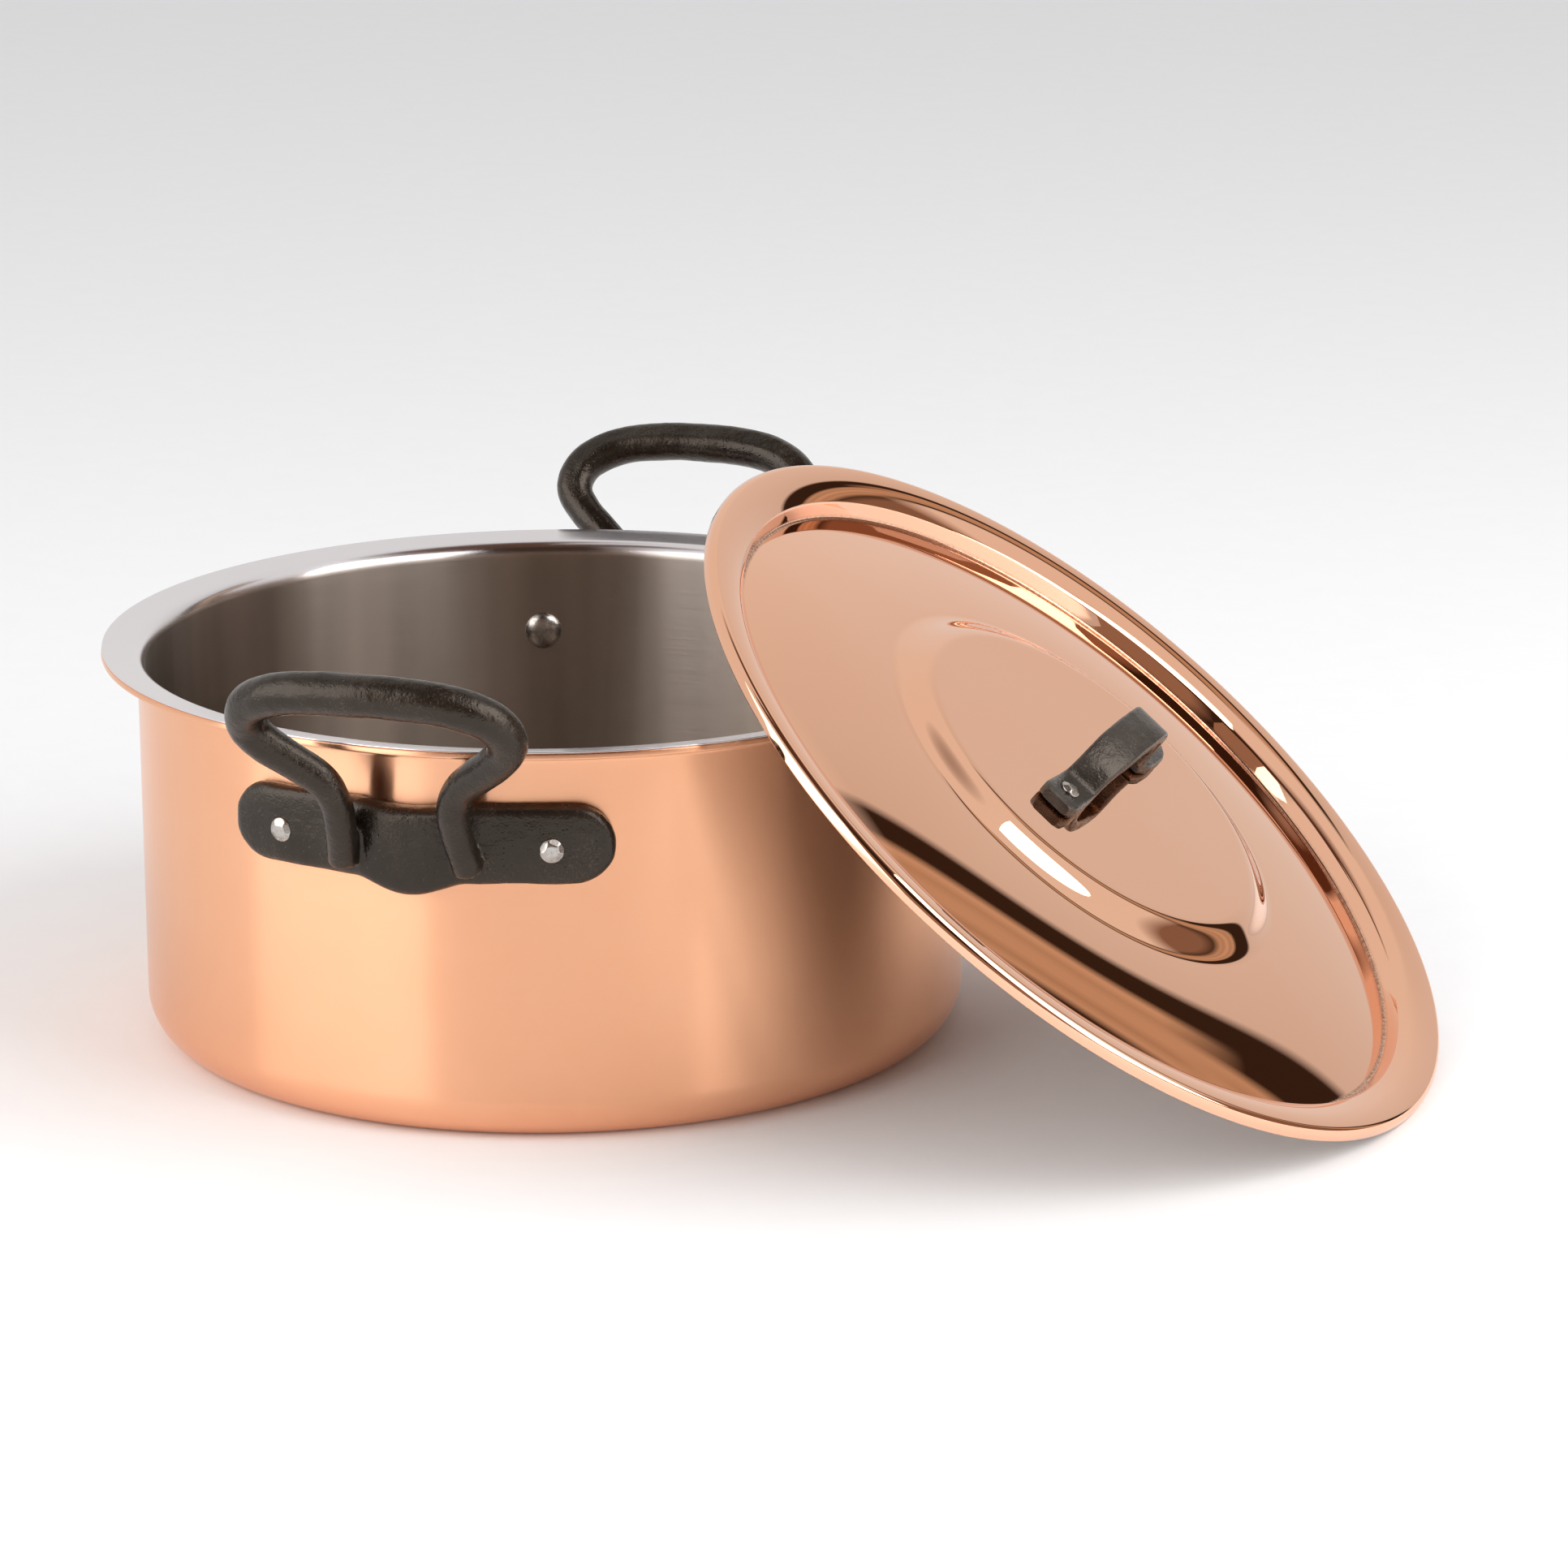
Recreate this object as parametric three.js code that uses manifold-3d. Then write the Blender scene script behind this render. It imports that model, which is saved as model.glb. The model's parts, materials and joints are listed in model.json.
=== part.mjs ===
// A two-handled copper saucepan with a steel lining, and its copper lid, which leans on the pan's lip.
// Millimetres, +Z up. The origin is the centre of the pan's flat base. The side handles lie along Y,
// and the lid leans on the +X side with its lower edge on the surface that the pan stands on.

import * as THREE from "three";
import { mergeVertices } from "three/addons/utils/BufferGeometryUtils.js";
import Module from "manifold-3d";

// ---- driving dimensions -------------------------------------------------------------------------

const gap = 0.3; // clearance between pieces that touch
const turnSteps = 48; // facets around the pan and the lid
const plateSteps = 96; // facets around the ring that a handle's plate is cut from
const rivetSteps = 12;

const copperSheet = 1.6;
const steelSheet = 0.4;

const pan = {
  radius: 122,
  cornerRadius: 13,
  wallTop: 111.8,
  lipBend: 2.5,
  lipSlope: 9,
  lipLength: 8.6,
};

const lidSheet = 1.0;
const lidSkin = 0.35;
const lid = {
  edgeRadius: 132.3,
  edgeHeight: -5.1,
  crestHeight: -1,
  rollRadius: 2.3,
  recessRadius: 116.85,
  recessHeight: -9.15,
  bossFoot: 69,
  bossFootHeight: -1.5,
  bossRadius: 57,
  bossHeight: 3.3,
};
// The lid's own axis leans by tilt from Z towards azimuth. Its centre is reach out along that azimuth
// and aside to the left of it, at the height that puts the lid's lowest edge on the table.
const lidPose = {
  tilt: 39.3,
  azimuth: -5.4,
  reach: 167.5,
  aside: -3,
  tableGap: 0.05,
};

const sideHandle = {
  frontAzimuth: -91.4,
  rearAzimuth: 90,
  plateThickness: 4.2,
  bossThickness: 7,
  plateHalfLength: 57,
  plateBottom: 77.5,
  plateTop: 100.5,
  lobeBottom: 73.5,
  lobeHalfWidth: 19,
  bossHalfWidth: 21,
  gripRadius: 6,
  legRadius: 4.6,
};
// Half of the grip's centre line, from the foot of a leg to the middle of the grip:
// [sideways, outward from the pan's axis, up].
const gripPath = [
  [18.5, 128.5, 83],
  [17.2, 133, 93],
  [17, 137, 102],
  [20, 139.5, 109],
  [26.5, 142.5, 114.5],
  [33.5, 146, 120],
  [37.8, 149.5, 126.5],
  [34.5, 155, 134],
  [22, 160, 139],
  [0, 162, 140.5],
];

const rivet = {
  azimuth: 18.4,
  height: 88,
  shankRadius: 2.75,
  headRadius: 3.5,
  headHeight: 2,
  innerHeadRadius: 5.8,
  innerHeadHeight: 2.4,
};

const strap = {
  turn: -2.6,
  aside: -0.4,
  thickness: 4.2,
  halfWidth: 6,
  farFootHalfWidth: 8,
  nearRivet: -29.5,
  farRivet: 35.5,
};
// The strap's underside in the plane along the strap: [along, height above the lid's boss].
const strapPath = [
  [-37.5, 0],
  [-19.5, 0],
  [-12, 7.5],
  [-4, 11.8],
  [6, 14],
  [14.5, 14.6],
  [17.5, 12],
  [19.5, 4],
  [23, 0],
  [43, 0],
];
const lidRivet = {
  shankRadius: 2.25,
  headRadius: 2.9,
  headHeight: 1.6,
  innerHeadRadius: 4.5,
  innerHeadHeight: 1.6,
};

const colours = {
  copper: { color: 0xd98f66, roughness: 0.28, metalness: 1 },
  steel: { color: 0xb9b7b8, roughness: 0.3, metalness: 1 },
  iron: { color: 0x37322d, roughness: 0.55, metalness: 0.4 },
};

// ---- solids -------------------------------------------------------------------------------------

const wasm = await Module();
wasm.setup();

const radians = THREE.MathUtils.degToRad;

function solid(geometry) {
  const bare = geometry.index ? geometry.toNonIndexed() : geometry.clone();
  bare.deleteAttribute("normal");
  bare.deleteAttribute("uv");
  const merged = mergeVertices(bare, 1e-4);
  const mesh = new wasm.Mesh({
    numProp: 3,
    vertProperties: new Float32Array(merged.attributes.position.array),
    triVerts: new Uint32Array(merged.index.array),
  });
  return new wasm.Manifold(mesh);
}

function geometryOf(manifold) {
  const { vertProperties, triVerts } = manifold.getMesh();
  const geometry = new THREE.BufferGeometry();
  geometry.setAttribute("position", new THREE.BufferAttribute(new Float32Array(vertProperties), 3));
  geometry.setIndex(new THREE.BufferAttribute(new Uint32Array(triVerts), 1));
  geometry.computeVertexNormals();
  return geometry;
}

function piece(name, manifold, look) {
  const mesh = new THREE.Mesh(geometryOf(manifold), new THREE.MeshStandardMaterial(look));
  mesh.name = name;
  return mesh;
}

// A solid of revolution about Z from [radius, height] points.
function turned(points, steps) {
  const profile = points.map(([r, z]) => new THREE.Vector2(r, z));
  const geometry = new THREE.LatheGeometry(profile, steps);
  geometry.rotateX(Math.PI / 2);
  geometry.rotateZ(Math.PI / 2);
  return solid(geometry);
}

function arc(centreR, centreZ, radius, fromDegrees, toDegrees, steps) {
  const points = [];
  for (let i = 0; i <= steps; i++) {
    const angle = radians(fromDegrees + ((toDegrees - fromDegrees) * i) / steps);
    points.push([centreR + radius * Math.cos(angle), centreZ + radius * Math.sin(angle)]);
  }
  return points;
}

// A closed sheet between the lower and the upper face of a pressing, given by their depths below its
// show face.
function sheet(face, lowerDepth, upperDepth) {
  const lower = face(lowerDepth);
  const upper = face(upperDepth).reverse();
  return turned([...lower, ...upper, lower[0]], turnSteps);
}

// ---- pan ----------------------------------------------------------------------------------------

function panFace(depth) {
  const { radius, cornerRadius, wallTop, lipBend, lipSlope, lipLength } = pan;
  const cornerSteps = 4;
  const bendSteps = 3;
  const heading = radians(lipSlope);
  const bend = arc(radius + lipBend, wallTop, lipBend + depth, 180, 90 + lipSlope, bendSteps);
  const [bendR, bendZ] = bend[bendSteps];
  return [
    [0, depth],
    ...arc(radius - cornerRadius, cornerRadius, cornerRadius - depth, -90, 0, cornerSteps),
    ...bend,
    [bendR + lipLength * Math.cos(heading), bendZ + lipLength * Math.sin(heading)],
  ];
}

const panSteelDepth = copperSheet + gap;
const panInside = panSteelDepth + steelSheet;

// ---- rivets -------------------------------------------------------------------------------------

// A rivet along Z: the shank from bottom to top, a domed head under it and a flat-topped one above it.
function rivetSolid(size, bottom, top) {
  const { shankRadius, headRadius, headHeight, innerHeadRadius, innerHeadHeight } = size;
  const domeSteps = 3;
  const dome = [];
  for (let i = 0; i <= domeSteps; i++) {
    const angle = (Math.PI / 2) * (i / domeSteps);
    dome.push([innerHeadRadius * Math.sin(angle), bottom - innerHeadHeight * Math.cos(angle)]);
  }
  return turned(
    [
      ...dome,
      [shankRadius, bottom],
      [shankRadius, top],
      [headRadius, top],
      [headRadius, top + headHeight * 0.45],
      [headRadius * 0.6, top + headHeight],
      [0, top + headHeight],
    ],
    rivetSteps,
  );
}

function hole(radius, bottom, top) {
  return turned(
    [
      [0, bottom],
      [radius, bottom],
      [radius, top],
      [0, top],
    ],
    rivetSteps,
  );
}

// Turns a solid that lies along Z so that it points outward from the pan's axis at an azimuth.
function outward(manifold, azimuth, height) {
  return manifold.rotate([0, 90, 0]).rotate([0, 0, azimuth]).translate([0, 0, height]);
}

const handleAzimuths = { front: sideHandle.frontAzimuth, rear: sideHandle.rearAzimuth };

function rivetAzimuths(handleAzimuth) {
  return { left: handleAzimuth - rivet.azimuth, right: handleAzimuth + rivet.azimuth };
}

// ---- side handle --------------------------------------------------------------------------------

// The plate's outline, seen from outside: sideways and up.
function plateOutline(halfLength) {
  const { plateBottom: bottom, plateTop: top, lobeBottom, lobeHalfWidth } = sideHandle;
  const end = (top - bottom) / 2;
  const middle = (top + bottom) / 2;
  const shape = new THREE.Shape();
  shape.moveTo(-halfLength + end, bottom);
  shape.lineTo(-lobeHalfWidth, bottom);
  shape.bezierCurveTo(-lobeHalfWidth / 2, bottom, -lobeHalfWidth / 3, lobeBottom, 0, lobeBottom);
  shape.bezierCurveTo(lobeHalfWidth / 3, lobeBottom, lobeHalfWidth / 2, bottom, lobeHalfWidth, bottom);
  shape.lineTo(halfLength - end, bottom);
  shape.absarc(halfLength - end, middle, end, -Math.PI / 2, Math.PI / 2, false);
  shape.lineTo(-halfLength + end, top);
  shape.absarc(-halfLength + end, middle, end, Math.PI / 2, (3 * Math.PI) / 2, false);
  return shape;
}

// A piece of a ring around the pan's wall, as thick as the plate, cut to an outline.
function plateLayer(outline, thickness, chamfer) {
  const inside = pan.radius + 0.4;
  const outside = pan.radius + gap + thickness;
  const low = sideHandle.lobeBottom - 2;
  const bottom = sideHandle.plateBottom;
  const top = sideHandle.plateTop;
  const ring = turned(
    [
      [inside, low],
      [outside - chamfer, low],
      [outside, bottom + chamfer],
      [outside, top - chamfer],
      [outside - chamfer, top],
      [inside, top],
      [inside, low],
    ],
    plateSteps,
  );
  const depth = outside + 5;
  const prism = new THREE.ExtrudeGeometry(outline, { depth, bevelEnabled: false, curveSegments: 6 });
  prism.rotateX(Math.PI / 2); // the outline's sideways and up become X and Z, the depth runs to -Y
  return ring.intersect(solid(prism));
}

// A round bar along a curve, with its radius given along the way.
function bar(curve, radiusAt, steps, sides) {
  const frames = curve.computeFrenetFrames(steps, false);
  const positions = [];
  const indices = [];
  for (let i = 0; i <= steps; i++) {
    const centre = curve.getPointAt(i / steps);
    for (let j = 0; j < sides; j++) {
      const angle = (2 * Math.PI * j) / sides;
      const point = centre
        .clone()
        .addScaledVector(frames.normals[i], radiusAt(i / steps) * Math.cos(angle))
        .addScaledVector(frames.binormals[i], radiusAt(i / steps) * Math.sin(angle));
      positions.push(...point.toArray());
    }
  }
  for (let i = 0; i < steps; i++) {
    for (let j = 0; j < sides; j++) {
      const a = i * sides + j;
      const b = i * sides + ((j + 1) % sides);
      indices.push(a, b, a + sides, b, b + sides, a + sides);
    }
  }
  const last = steps * sides;
  for (let j = 1; j < sides - 1; j++) {
    indices.push(0, j + 1, j, last, last + j, last + j + 1);
  }
  const geometry = new THREE.BufferGeometry();
  geometry.setAttribute("position", new THREE.Float32BufferAttribute(positions, 3));
  geometry.setIndex(indices);
  return solid(geometry);
}

// The whole casting, built facing -Y.
function sideHandleSolid() {
  const half = gripPath.map(([across, out, up]) => new THREE.Vector3(across, -out, up));
  const mirrored = half.slice(0, -1).map((p) => new THREE.Vector3(-p.x, p.y, p.z));
  const curve = new THREE.CatmullRomCurve3([...mirrored, ...half.reverse()], false, "centripetal");
  const { gripRadius, legRadius } = sideHandle;
  const swell = (t) => legRadius + (gripRadius - legRadius) * Math.sin(Math.PI * t) ** 4;
  const grip = bar(curve, swell, 44, 8);
  const plate = plateLayer(plateOutline(sideHandle.plateHalfLength), sideHandle.plateThickness, 1);
  const boss = plateLayer(plateOutline(sideHandle.bossHalfWidth + 6), sideHandle.bossThickness, 1.5);
  return plate.add(boss).add(grip).subtract(hole(pan.radius + 0.4, 60, 120));
}

function cutRivetHoles(manifold, handleAzimuth) {
  let cut = manifold;
  for (const azimuth of Object.values(rivetAzimuths(handleAzimuth))) {
    cut = cut.subtract(outward(hole(rivet.shankRadius + gap, 100, 140), azimuth, rivet.height));
  }
  return cut;
}

// ---- lid ----------------------------------------------------------------------------------------

function lidFace(depth) {
  const { edgeRadius, edgeHeight, crestHeight, rollRadius, recessRadius, recessHeight } = lid;
  const { bossFoot, bossFootHeight, bossRadius, bossHeight } = lid;
  const slopeSteps = 4;
  const rollSteps = 2;
  const crestRadius = edgeRadius - rollRadius;

  // The slope from the recess up to the crest is one arc, level at the crest.
  const across = crestRadius - recessRadius;
  const rise = crestHeight - recessHeight;
  const slopeRadius = (across ** 2 + rise ** 2) / (2 * rise);
  const slopeCentre = crestHeight - slopeRadius;
  const footSine = (recessHeight - depth - slopeCentre) / (slopeRadius - depth);
  const foot = 180 - THREE.MathUtils.radToDeg(Math.asin(footSine));

  return [
    [0, bossHeight - depth],
    [bossRadius, bossHeight - depth],
    [bossRadius + 3.5, bossHeight - 1 - depth],
    [bossFoot - 3.5, bossFootHeight + 1 - depth],
    [bossFoot, bossFootHeight - depth],
    [(bossFoot + recessRadius) / 2, (bossFootHeight + recessHeight) / 2 + 0.5 - depth],
    ...arc(crestRadius, slopeCentre, slopeRadius - depth, foot, 90, slopeSteps),
    ...arc(crestRadius, crestHeight - rollRadius, rollRadius - depth, 90, 0, rollSteps).slice(1),
    [edgeRadius - depth, edgeHeight],
  ];
}

// ---- lid handle ---------------------------------------------------------------------------------

// The strap: its side profile, as thick as the strap, cut to its outline from above.
function strapSolid() {
  const { thickness, halfWidth, farFootHalfWidth } = strap;
  const under = strapPath.map(([along, up]) => new THREE.Vector2(along, up));
  const over = under.map((point, i) => {
    const before = under[Math.max(i - 1, 0)];
    const after = under[Math.min(i + 1, under.length - 1)];
    const direction = after.clone().sub(before).normalize();
    return new THREE.Vector2(point.x - direction.y * thickness, point.y + direction.x * thickness);
  });
  const side = new THREE.Shape([...under, ...over.reverse()]);
  const width = 2 * farFootHalfWidth + 2;
  const slab = new THREE.ExtrudeGeometry(side, { depth: width, bevelEnabled: false });
  slab.translate(0, 0, -width / 2);
  slab.rotateX(Math.PI / 2); // along stays X, up becomes Z

  const [nearEnd] = strapPath[0];
  const [farEnd] = strapPath[strapPath.length - 1];
  const waist = halfWidth - 0.6;
  const outline = new THREE.Shape();
  outline.moveTo(nearEnd, -halfWidth + 2);
  outline.quadraticCurveTo(nearEnd, -halfWidth, nearEnd + 3, -halfWidth);
  outline.bezierCurveTo(-24, -halfWidth, -20, -waist, -14, -waist);
  outline.bezierCurveTo(-5, -halfWidth, 10, -halfWidth, 20, -halfWidth);
  outline.bezierCurveTo(27, -halfWidth, 27, -farFootHalfWidth, 33, -farFootHalfWidth);
  outline.bezierCurveTo(40, -farFootHalfWidth, farEnd, -6, farEnd, 0);
  outline.bezierCurveTo(farEnd, 6, 40, farFootHalfWidth, 33, farFootHalfWidth);
  outline.bezierCurveTo(27, farFootHalfWidth, 27, halfWidth, 20, halfWidth);
  outline.bezierCurveTo(10, halfWidth, -5, halfWidth, -14, waist);
  outline.bezierCurveTo(-20, waist, -24, halfWidth, nearEnd + 3, halfWidth);
  outline.quadraticCurveTo(nearEnd, halfWidth, nearEnd, halfWidth - 2);
  const prism = new THREE.ExtrudeGeometry(outline, { depth: 40, bevelEnabled: false, curveSegments: 6 });
  prism.translate(0, 0, -5);
  return solid(slab).intersect(solid(prism));
}

// Moves a solid from the strap's own frame (along X, up Z) to the lid's frame (along Y).
function onLid(manifold, along = 0) {
  return manifold
    .translate([along, strap.aside, 0])
    .rotate([0, 0, 90 + strap.turn])
    .translate([0, 0, lid.bossHeight]);
}

function cutLidHoles(manifold) {
  let cut = manifold;
  for (const along of [strap.nearRivet, strap.farRivet]) {
    cut = cut.subtract(onLid(hole(lidRivet.shankRadius + gap, -10, 10), along));
  }
  return cut;
}

// ---- assembly -----------------------------------------------------------------------------------

const saucepan = new THREE.Group();

let copperBody = sheet(panFace, 0, copperSheet);
let steelBody = sheet(panFace, panSteelDepth, panInside);
const casting = sideHandleSolid();

for (const [place, azimuth] of Object.entries(handleAzimuths)) {
  copperBody = cutRivetHoles(copperBody, azimuth);
  steelBody = cutRivetHoles(steelBody, azimuth);
  const handle = cutRivetHoles(casting.rotate([0, 0, azimuth + 90]), azimuth);
  saucepan.add(piece(`${place}_handle`, handle, colours.iron));
  for (const [side, at] of Object.entries(rivetAzimuths(azimuth))) {
    const headSeat = pan.radius + 2 * gap + sideHandle.plateThickness;
    const innerSeat = pan.radius - panInside - 2 * gap;
    const shape = outward(rivetSolid(rivet, innerSeat, headSeat), at, rivet.height);
    saucepan.add(piece(`${place}_rivet_${side}`, shape, colours.steel));
  }
}
saucepan.add(piece("pan_copper_shell", copperBody, colours.copper));
saucepan.add(piece("pan_steel_lining", steelBody, colours.steel));

const lidSteelDepth = lidSheet + gap;
const lidInside = lidSteelDepth + lidSkin;

const lidGroup = new THREE.Group();
lidGroup.rotation.order = "ZYX";
lidGroup.rotation.set(0, radians(lidPose.tilt), radians(lidPose.azimuth));
lidGroup.position
  .set(lidPose.reach, lidPose.aside, 0)
  .applyAxisAngle(new THREE.Vector3(0, 0, 1), radians(lidPose.azimuth))
  .setZ(
    lid.edgeRadius * Math.sin(radians(lidPose.tilt)) -
      lid.edgeHeight * Math.cos(radians(lidPose.tilt)) +
      lidPose.tableGap,
  );

lidGroup.add(piece("lid_copper_shell", cutLidHoles(sheet(lidFace, lidSheet, 0)), colours.copper));
lidGroup.add(piece("lid_steel_lining", cutLidHoles(sheet(lidFace, lidInside, lidSteelDepth)), colours.steel));
lidGroup.add(piece("lid_handle", cutLidHoles(onLid(strapSolid().translate([0, 0, gap]))), colours.iron));
for (const [place, along] of Object.entries({ near: strap.nearRivet, far: strap.farRivet })) {
  const shape = rivetSolid(lidRivet, -lidInside - gap, strap.thickness + 2 * gap);
  lidGroup.add(piece(`lid_rivet_${place}`, onLid(shape, along), colours.steel));
}
saucepan.add(lidGroup);

export default saucepan;
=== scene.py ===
"""Looks for the copper saucepan and its lid: fine meshes, node materials, a studio and the camera.

Lengths in the shape code are millimetres in the part's own frame; make() turns them into metres.
"""

import json
import math

import bmesh
import bpy
from mathutils import Matrix, Vector, noise


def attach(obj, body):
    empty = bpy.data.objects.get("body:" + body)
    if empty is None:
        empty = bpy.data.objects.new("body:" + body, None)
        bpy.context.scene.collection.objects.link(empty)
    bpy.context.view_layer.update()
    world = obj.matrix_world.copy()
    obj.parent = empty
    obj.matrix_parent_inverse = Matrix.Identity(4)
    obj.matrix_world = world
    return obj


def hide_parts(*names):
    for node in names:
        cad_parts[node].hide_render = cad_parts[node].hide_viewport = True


MM = 0.001

# ---- the part's dimensions, in millimetres ------------------------------------------------------

PAN_RADIUS = 122.0
PAN_CORNER = 13.0
PAN_WALL_TOP = 111.8
LIP_BEND = 2.5
LIP_SLOPE = math.radians(9)
LIP_LENGTH = 8.6
COPPER_SHEET = 1.9  # up to the lining, so that the two sheets meet at the lip
STEEL_SHEET = 0.4

LID_BOSS_RADIUS = 56.0
LID_BOSS_HEIGHT = 3.3
LID_BOSS_DOME = 0.15
LID_FOOT_RADIUS = 70.0
LID_FOOT_HEIGHT = -1.55
LID_RECESS_RADIUS = 116.85
LID_RECESS_FILLET = 1.0
LID_RISER_FILLET = 1.6
LID_CROWN_RADIUS = 20.6
LID_CROWN_ANGLE = 33
LID_CREST_RADIUS = 130.0
LID_CREST_HEIGHT = -1.0
LID_ROLL_RADIUS = 2.3
LID_EDGE_RADIUS = 132.3
LID_EDGE_HEIGHT = -5.1
LID_SHEET = 1.3
LID_SKIN = 0.35

PLATE_HALF_LENGTH = 57.0
PLATE_BOTTOM = 77.5
PLATE_TOP = 100.5
PLATE_LOBE = 73.5
PLATE_THICKNESS = 4.2
PLATE_CROWN = 2.4
PLATE_DISH = 0.7
PLATE_GAP = 0.3
CASTING_VOXEL = 0.75
HANDLE_AZIMUTHS = {"front": -91.4, "rear": 90.0}
RIVET_AZIMUTH = 18.4
RIVET_HEIGHT = 88.0
RIVET = {"shank": 2.75, "head": 3.5, "head_height": 2.1, "inner": 5.8, "inner_height": 2.5}

# Half of the grip's centre line: sideways, outward from the pan's axis, up.
GRIP_PATH = [
    (18.5, 128.5, 83),
    (17.2, 133, 93),
    (17, 137, 102),
    (20, 139.5, 109),
    (26.5, 142.5, 114.5),
    (33.5, 146, 120),
    (37.8, 149.5, 126.5),
    (34.5, 155, 134),
    (22, 160, 139),
    (0, 162, 140.5),
]

# The lid strap's underside: along the strap, height above the lid's boss.
STRAP_PATH = [
    (-37.5, 0.3),
    (-19.5, 0.3),
    (-12, 7.8),
    (-4, 12.1),
    (6, 14.3),
    (14.5, 14.9),
    (17.5, 12.3),
    (19.5, 4.3),
    (23, 0.3),
    (43, 0.3),
]
STRAP_THICKNESS = 4.2
STRAP_TURN = -2.6
STRAP_ASIDE = -0.4
STRAP_RIVETS = {"near": -29.5, "far": 35.5}
STRAP_RIVET = {"shank": 2.25, "head": 2.9, "head_height": 1.6, "inner": 4.5, "inner_height": 1.7}
RIVET_SEAT = 0.1  # the inner heads stand this far off the lining

CAMERA_BEARING = 17.3  # degrees, counted from -Y

# ---- small geometry helpers ---------------------------------------------------------------------


def make(name, points, faces, sharp_angle=40):
    """A mesh object from millimetre points, smooth but for edges sharper than sharp_angle."""
    mesh = bpy.data.meshes.new(name)
    mesh.from_pydata([Vector(p) * MM for p in points], [], faces)
    mesh.validate()
    obj = bpy.data.objects.new(name, mesh)
    bpy.context.scene.collection.objects.link(obj)
    mesh.polygons.foreach_set("use_smooth", [True] * len(mesh.polygons))
    mesh.set_sharp_from_angle(angle=math.radians(sharp_angle))
    return obj


def filleted(corners, arc_step=math.radians(4), straight_step=3.0):
    """A profile through (r, z, fillet radius) corners, finely divided to keep smooth shading true."""
    line = [Vector(corners[0][:2])]

    def go_to(point):
        start = line[-1]
        count = max(1, math.ceil((point - start).length / straight_step))
        line.extend(start.lerp(point, (i + 1) / count) for i in range(count))

    for before, here, after in zip(corners, corners[1:], corners[2:]):
        corner = Vector(here[:2])
        into = (corner - Vector(before[:2])).normalized()
        out = (Vector(after[:2]) - corner).normalized()
        turn = into.angle(out)
        if here[2] <= 0 or turn < 1e-3:
            go_to(corner)
            continue
        reach = here[2] * math.tan(turn / 2)
        go_to(corner - into * reach)
        side = 1 if into.cross(out) > 0 else -1
        centre = corner - into * reach + Vector((-into.y, into.x)) * side * here[2]
        spoke = line[-1] - centre
        count = max(2, math.ceil(turn / arc_step))
        for i in range(1, count + 1):
            angle = side * turn * i / count
            c, s = math.cos(angle), math.sin(angle)
            line.append(centre + Vector((c * spoke.x - s * spoke.y, s * spoke.x + c * spoke.y)))
    go_to(Vector(corners[-1][:2]))
    return [(max(p.x, 0.0), p.y) for p in line]


def arc(centre_r, centre_z, radius, start, end, count):
    """Points of an arc in the (r, z) plane; angles in degrees."""
    angles = [math.radians(start + (end - start) * i / count) for i in range(count + 1)]
    return [(centre_r + radius * math.cos(a), centre_z + radius * math.sin(a)) for a in angles]


def lathe(name, profile, steps=288, sharp_angle=40):
    """A solid of revolution about Z from (r, z) points that start and end on the axis, or close."""
    closed = profile[0] == profile[-1]
    profile = profile[:-1] if closed else profile
    points, rings = [], []
    for r, z in profile:
        if r < 1e-6:
            rings.append([len(points)] * steps)
            points.append((0, 0, z))
        else:
            rings.append(list(range(len(points), len(points) + steps)))
            turns = (2 * math.pi * i / steps for i in range(steps))
            points.extend((r * math.cos(t), r * math.sin(t), z) for t in turns)
    faces = []
    pairs = list(zip(rings, rings[1:])) + ([(rings[-1], rings[0])] if closed else [])
    for low, high in pairs:
        for i in range(steps):
            j = (i + 1) % steps
            quad = [low[i], low[j], high[j], high[i]]
            quad = [v for k, v in enumerate(quad) if v != quad[k - 1]]
            if len(quad) > 2:
                faces.append(quad)
    return make(name, points, faces, sharp_angle)


def catmull(points, per_span):
    """A smooth curve through the points, as Vectors."""
    points = [Vector(p) for p in points]
    ends = [2 * points[0] - points[1], *points, 2 * points[-1] - points[-2]]
    curve = []
    for a, b, c, d in zip(ends, ends[1:], ends[2:], ends[3:]):
        for i in range(per_span):
            t = i / per_span
            curve.append(
                0.5
                * (
                    2 * b
                    + (c - a) * t
                    + (2 * a - 5 * b + 4 * c - d) * t**2
                    + (3 * b - a - 3 * c + d) * t**3
                )
            )
    return [*curve, points[-1]]


def sweep(name, line, section_at, up):
    """A closed tube: section_at(i) gives the (sideways, up) offsets at each point of the line."""
    points, faces = [], []
    side_before = None
    for i, centre in enumerate(line):
        along = (line[min(i + 1, len(line) - 1)] - line[max(i - 1, 0)]).normalized()
        side = along.cross(up).normalized()
        if side_before is not None and side.dot(side_before) < 0:
            side = -side
        side_before = side
        top = side.cross(along)
        section = section_at(i)
        points.extend(centre + side * a + top * b for a, b in section)
    count = len(section)
    for i in range(len(line) - 1):
        for j in range(count):
            k = (j + 1) % count
            faces.append((i * count + j, i * count + k, (i + 1) * count + k, (i + 1) * count + j))
    faces.append(tuple(reversed(range(count))))
    last = (len(line) - 1) * count
    faces.append(tuple(range(last, last + count)))
    return make(name, points, faces)


def place(obj, matrix):
    obj.data.transform(matrix)
    return obj


def face_outward(obj):
    """Turns all faces out, whichever way they were built."""
    shape = bmesh.new()
    shape.from_mesh(obj.data)
    bmesh.ops.recalc_face_normals(shape, faces=shape.faces)
    shape.to_mesh(obj.data)
    shape.free()
    return obj


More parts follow.
